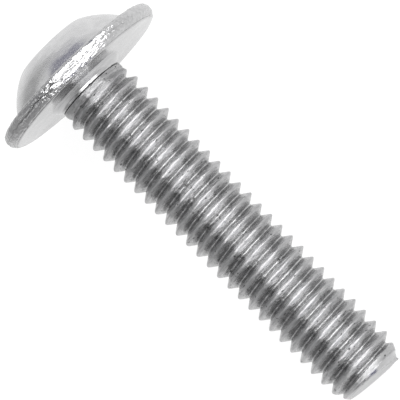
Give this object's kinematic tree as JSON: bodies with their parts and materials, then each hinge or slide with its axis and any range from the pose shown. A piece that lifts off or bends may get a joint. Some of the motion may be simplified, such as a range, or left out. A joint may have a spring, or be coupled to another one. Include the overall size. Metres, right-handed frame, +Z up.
{
  "type": "flange button head screw",
  "caption": "Stainless steel button head screw with a flange collar, a hexagon socket and a fully threaded metric shank with a chamfered point.",
  "frame": {"origin": "centre of the bounding box, at the surface the screw lies on", "axes": "+X along the length towards the point, +Z up from the surface; the screw's own axis dips about 8 degrees towards the point"},
  "size_m": [0.0222, 0.0094, 0.0093],
  "materials": {
    "stainless_steel": "satin, as forged and rolled"
  },
  "bodies": {
    "root": {"screw": "stainless_steel"}
  },
  "joints": []
}
